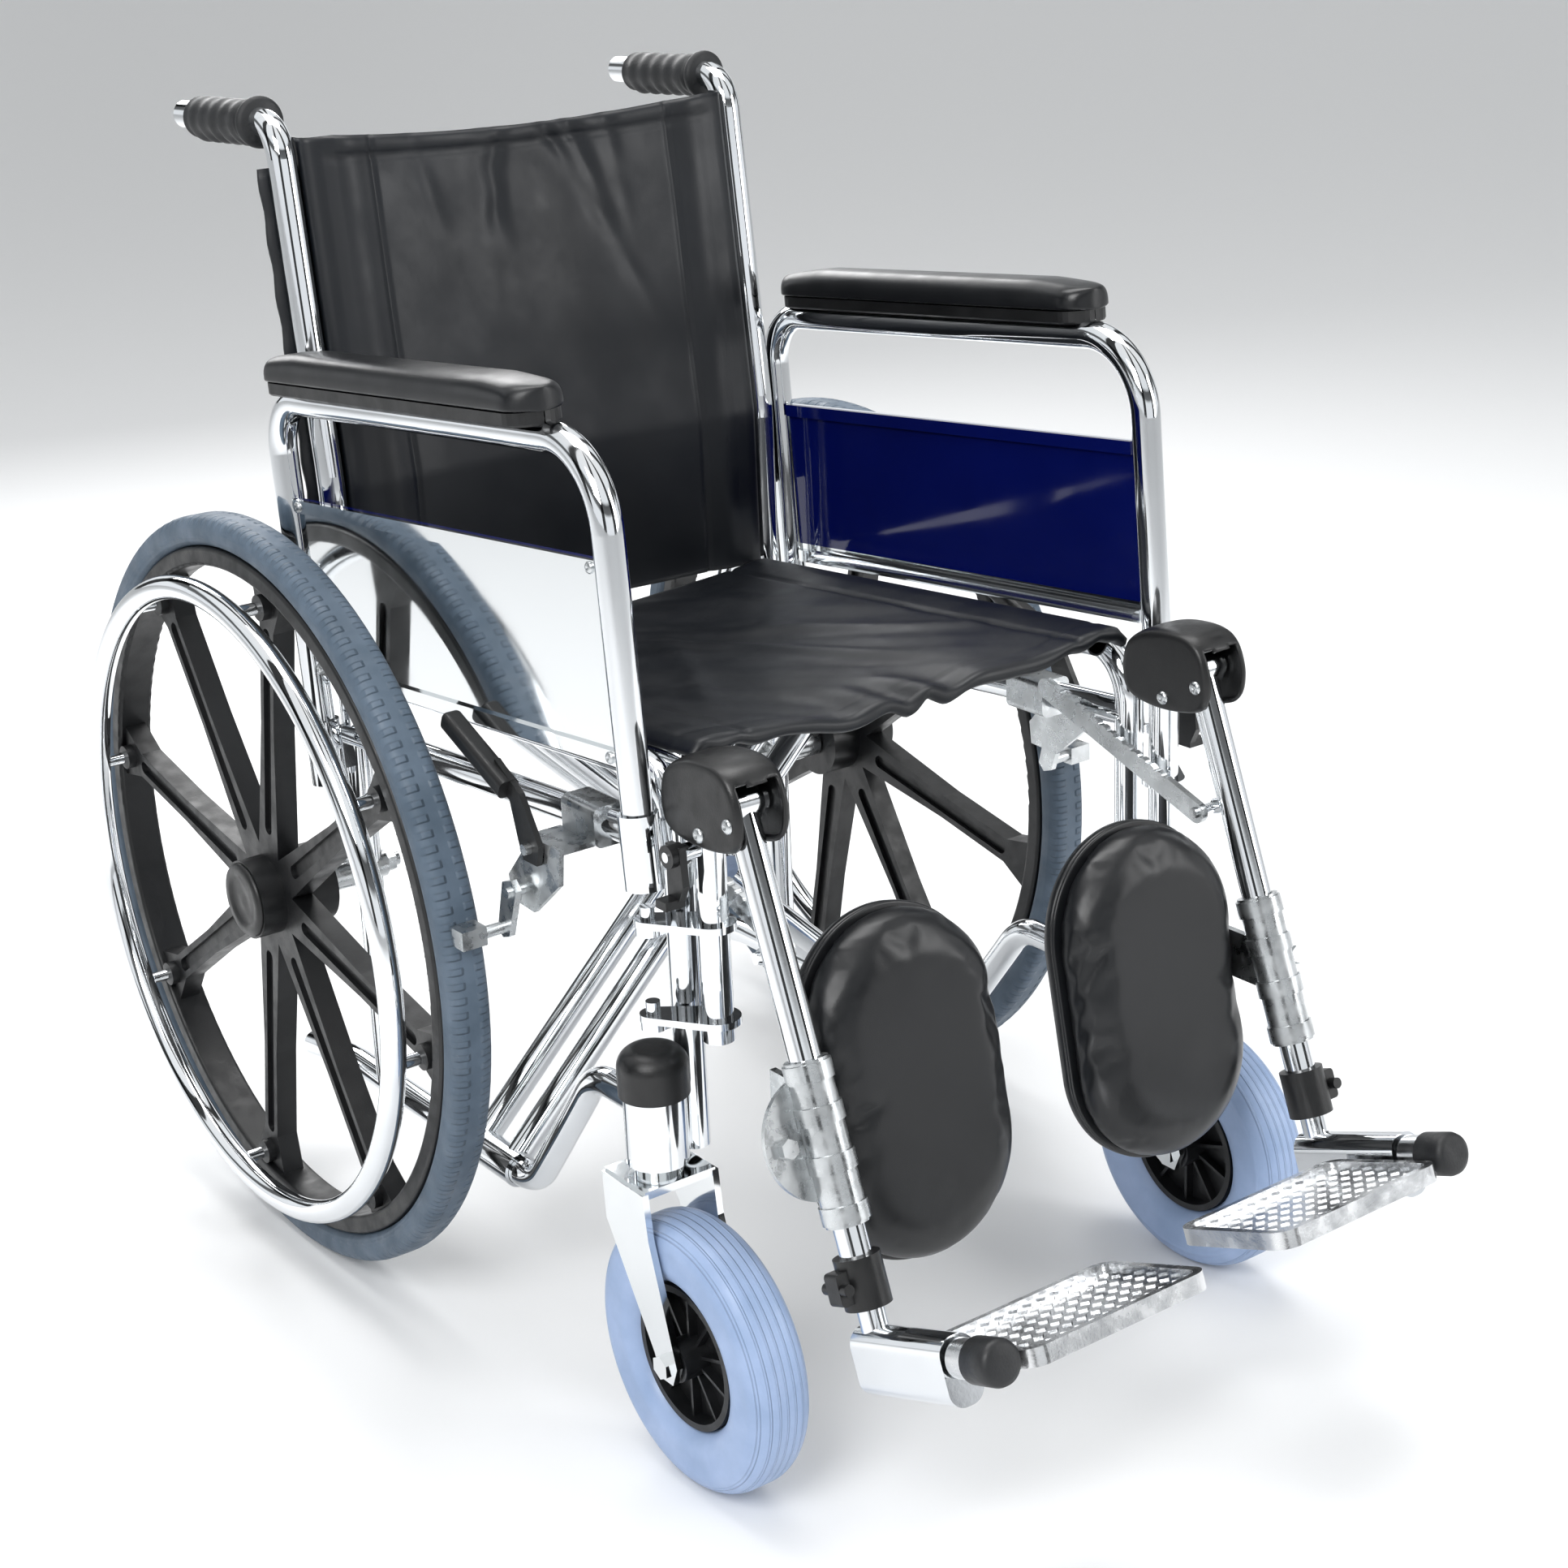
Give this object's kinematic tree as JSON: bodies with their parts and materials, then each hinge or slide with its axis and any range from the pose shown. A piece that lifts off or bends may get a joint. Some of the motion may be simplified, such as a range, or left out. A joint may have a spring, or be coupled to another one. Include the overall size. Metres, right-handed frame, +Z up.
{
  "type": "manual wheelchair",
  "caption": "Folding steel wheelchair with spoked drive wheels, front casters, full-length lift-out armrests and swing-away elevating legrests with calf pads and flip-up footplates.",
  "frame": {"origin": "on the floor, at the middle of the chair's overall length and width", "axes": "+Z up, -Y towards the front, where the occupant faces, +X towards the occupant's left"},
  "size_m": [0.671, 1.0954, 0.9145],
  "materials": {
    "frame_chrome": "bright plated steel tube",
    "handrim_chrome": "bright plated hoop",
    "fork_chrome": "bright plated steel plate",
    "bracket_zinc": "zinc plated pressed steel",
    "skirt_steel": "polished sheet",
    "footplate_alloy": "cast, lightly polished",
    "mag_plastic": "glass filled nylon",
    "black_moulding": "moulded plastic",
    "grip_rubber": "moulded grip",
    "rear_tyre_rubber": "grey rubber",
    "caster_tyre_rubber": "blue grey rubber",
    "pad_vinyl": "padded black vinyl",
    "sling_vinyl": "black vinyl upholstery"
  },
  "bodies": {
    "frame_right": {"side_frame_right": "frame_chrome", "back_cane_right": "frame_chrome", "push_grip_right": "grip_rubber", "seat_saddles_right": "black_moulding", "rear_axle_right": "bracket_zinc", "stem_cap_right": "black_moulding", "brake_bracket_right": "bracket_zinc", "back_sling": "sling_vinyl"},
    "brace_a": {"cross_member_a": "frame_chrome", "seat_sling": "sling_vinyl"},
    "brace_b": {"cross_member_b": "frame_chrome"},
    "frame_left": {"side_frame_left": "frame_chrome", "back_cane_left": "frame_chrome", "push_grip_left": "grip_rubber", "seat_saddles_left": "black_moulding", "rear_axle_left": "bracket_zinc", "stem_cap_left": "black_moulding", "brake_bracket_left": "bracket_zinc"},
    "wheel_left": {"rear_tyre_left": "rear_tyre_rubber", "mag_wheel_left": "mag_plastic", "handrim_left": "handrim_chrome"},
    "swivel_left": {"caster_fork_left": "fork_chrome"},
    "caster_left": {"caster_tyre_left": "caster_tyre_rubber", "caster_hub_left": "mag_plastic"},
    "armrest_left": {"armrest_frame_left": "frame_chrome", "arm_pad_left": "pad_vinyl", "skirt_panel_left": "skirt_steel"},
    "hanger_left": {"hanger_frame_left": "frame_chrome", "hanger_head_left": "black_moulding"},
    "leg_left": {"leg_tube_left": "frame_chrome", "leg_clamp_left": "black_moulding"},
    "calf_left": {"calf_pad_left": "pad_vinyl", "calf_bracket_left": "bracket_zinc"},
    "foot_left": {"foot_tube_left": "frame_chrome"},
    "plate_left": {"footplate_left": "footplate_alloy"},
    "bar_left": {"ratchet_bar_left": "bracket_zinc"},
    "release_left": {"release_lever_left": "black_moulding"},
    "lock_lever_left": {"brake_lever_left": "black_moulding"},
    "lock_shoe_left": {"brake_shoe_left": "bracket_zinc"},
    "wheel_right": {"rear_tyre_right": "rear_tyre_rubber", "mag_wheel_right": "mag_plastic", "handrim_right": "handrim_chrome"},
    "swivel_right": {"caster_fork_right": "fork_chrome"},
    "caster_right": {"caster_tyre_right": "caster_tyre_rubber", "caster_hub_right": "mag_plastic"},
    "armrest_right": {"armrest_frame_right": "frame_chrome", "arm_pad_right": "pad_vinyl", "skirt_panel_right": "skirt_steel"},
    "hanger_right": {"hanger_frame_right": "frame_chrome", "hanger_head_right": "black_moulding"},
    "leg_right": {"leg_tube_right": "frame_chrome", "leg_clamp_right": "black_moulding"},
    "calf_right": {"calf_pad_right": "pad_vinyl", "calf_bracket_right": "bracket_zinc"},
    "foot_right": {"foot_tube_right": "frame_chrome"},
    "plate_right": {"footplate_right": "footplate_alloy"},
    "bar_right": {"ratchet_bar_right": "bracket_zinc"},
    "release_right": {"release_lever_right": "black_moulding"},
    "lock_lever_right": {"brake_lever_right": "black_moulding"},
    "lock_shoe_right": {"brake_shoe_right": "bracket_zinc"}
  },
  "joints": [
    {"name": "fold", "type": "hinge", "parent": "frame_right", "child": "brace_a", "pos_m": [-0.206, 0.089, 0.11], "axis": [0, -1, 0], "range_deg": [0, 33], "deforming": ["seat_sling", "back_sling"]},
    {"name": "brace_scissor", "type": "hinge", "parent": "brace_a", "child": "brace_b", "pos_m": [0, 0.089, 0.3112], "axis": [0, -1, 0], "range_deg": [-66, 0]},
    {"name": "frame_follow", "type": "hinge", "parent": "brace_b", "child": "frame_left", "pos_m": [0.206, 0.089, 0.11], "axis": [0, -1, 0], "range_deg": [0, 33]},
    {"name": "wheel_spin_left", "type": "hinge", "parent": "frame_left", "child": "wheel_left", "pos_m": [0.287, 0.25, 0.305], "axis": [1, 0, 0], "continuous": true},
    {"name": "swivel_left", "type": "hinge", "parent": "frame_left", "child": "swivel_left", "pos_m": [0.238, -0.21, 0.231], "axis": [0, 0, 1], "continuous": true},
    {"name": "caster_spin_left", "type": "hinge", "parent": "swivel_left", "child": "caster_left", "pos_m": [0.238, -0.253, 0.1], "axis": [1, 0, 0], "continuous": true},
    {"name": "armrest_lift_left", "type": "slide", "parent": "frame_left", "child": "armrest_left", "axis": [0, 0.0785, 0.9969], "range_m": [0, 0.06]},
    {"name": "swing_left", "type": "hinge", "parent": "frame_left", "child": "hanger_left", "pos_m": [0.236, -0.212, 0.33], "axis": [0, 0, 1], "range_deg": [0, 90]},
    {"name": "elevate_left", "type": "hinge", "parent": "hanger_left", "child": "leg_left", "pos_m": [0.206, -0.282, 0.503], "axis": [-1, 0, 0], "range_deg": [0, 65]},
    {"name": "bar_tilt_left", "type": "hinge", "parent": "leg_left", "child": "bar_left", "pos_m": [0.187, -0.3, 0.402], "axis": [-1, 0, 0], "range_deg": [-25.3, 0]},
    {"name": "release_left", "type": "hinge", "parent": "hanger_left", "child": "release_left", "pos_m": [0.229, -0.245, 0.464], "axis": [-1, 0, 0], "range_deg": [0, 25], "stiffness_Nm_per_rad": 0.2},
    {"name": "calf_swing_left", "type": "hinge", "parent": "leg_left", "child": "calf_left", "pos_m": [0.206, -0.36083, 0.29547], "axis": [0, -0.3551, -0.9348], "range_deg": [0, 15]},
    {"name": "foot_slide_left", "type": "slide", "parent": "leg_left", "child": "foot_left", "axis": [0, -0.3551, -0.9348], "range_m": [0, 0.09]},
    {"name": "plate_flip_left", "type": "hinge", "parent": "foot_left", "child": "plate_left", "pos_m": [0.206, -0.51035, 0.20036], "axis": [0, 0.9348, -0.3551], "range_deg": [0, 90]},
    {"name": "lock_left", "type": "hinge", "parent": "frame_left", "child": "lock_lever_left", "pos_m": [0.254, -0.092, 0.43], "axis": [1, 0, 0], "range_deg": [0, 60]},
    {"name": "shoe_left", "type": "hinge", "parent": "frame_left", "child": "lock_shoe_left", "pos_m": [0.254, -0.07, 0.392], "axis": [-1, 0, 0], "range_deg": [0, 8]},
    {"name": "wheel_spin_right", "type": "hinge", "parent": "frame_right", "child": "wheel_right", "pos_m": [-0.287, 0.25, 0.305], "axis": [1, 0, 0], "continuous": true},
    {"name": "swivel_right", "type": "hinge", "parent": "frame_right", "child": "swivel_right", "pos_m": [-0.238, -0.21, 0.231], "axis": [0, 0, -1], "continuous": true},
    {"name": "caster_spin_right", "type": "hinge", "parent": "swivel_right", "child": "caster_right", "pos_m": [-0.238, -0.253, 0.1], "axis": [1, 0, 0], "continuous": true},
    {"name": "armrest_lift_right", "type": "slide", "parent": "frame_right", "child": "armrest_right", "axis": [0, 0.0785, 0.9969], "range_m": [0, 0.06]},
    {"name": "swing_right", "type": "hinge", "parent": "frame_right", "child": "hanger_right", "pos_m": [-0.236, -0.212, 0.33], "axis": [0, 0, -1], "range_deg": [0, 90]},
    {"name": "elevate_right", "type": "hinge", "parent": "hanger_right", "child": "leg_right", "pos_m": [-0.206, -0.282, 0.503], "axis": [-1, 0, 0], "range_deg": [0, 65]},
    {"name": "bar_tilt_right", "type": "hinge", "parent": "leg_right", "child": "bar_right", "pos_m": [-0.187, -0.3, 0.402], "axis": [-1, 0, 0], "range_deg": [-25.3, 0]},
    {"name": "release_right", "type": "hinge", "parent": "hanger_right", "child": "release_right", "pos_m": [-0.229, -0.245, 0.464], "axis": [-1, 0, 0], "range_deg": [0, 25], "stiffness_Nm_per_rad": 0.2},
    {"name": "calf_swing_right", "type": "hinge", "parent": "leg_right", "child": "calf_right", "pos_m": [-0.206, -0.36083, 0.29547], "axis": [0, 0.3551, 0.9348], "range_deg": [0, 15]},
    {"name": "foot_slide_right", "type": "slide", "parent": "leg_right", "child": "foot_right", "axis": [0, -0.3551, -0.9348], "range_m": [0, 0.09]},
    {"name": "plate_flip_right", "type": "hinge", "parent": "foot_right", "child": "plate_right", "pos_m": [-0.206, -0.51035, 0.20036], "axis": [0, -0.9348, 0.3551], "range_deg": [0, 90]},
    {"name": "lock_right", "type": "hinge", "parent": "frame_right", "child": "lock_lever_right", "pos_m": [-0.254, -0.092, 0.43], "axis": [1, 0, 0], "range_deg": [0, 60]},
    {"name": "shoe_right", "type": "hinge", "parent": "frame_right", "child": "lock_shoe_right", "pos_m": [-0.254, -0.07, 0.392], "axis": [-1, 0, 0], "range_deg": [0, 8]}
  ],
  "couplings": [
    {"joint": "brace_scissor", "follows": "fold", "ratio": -2},
    {"joint": "frame_follow", "follows": "fold", "ratio": 1},
    {"joint": "swing_left", "follows": "fold", "ratio": 2.7273},
    {"joint": "bar_tilt_left", "follows": "elevate_left", "ratio": -0.38923},
    {"joint": "shoe_left", "follows": "lock_left", "ratio": 0.13333},
    {"joint": "swing_right", "follows": "fold", "ratio": 2.7273},
    {"joint": "bar_tilt_right", "follows": "elevate_right", "ratio": -0.38923},
    {"joint": "shoe_right", "follows": "lock_right", "ratio": 0.13333}
  ]
}
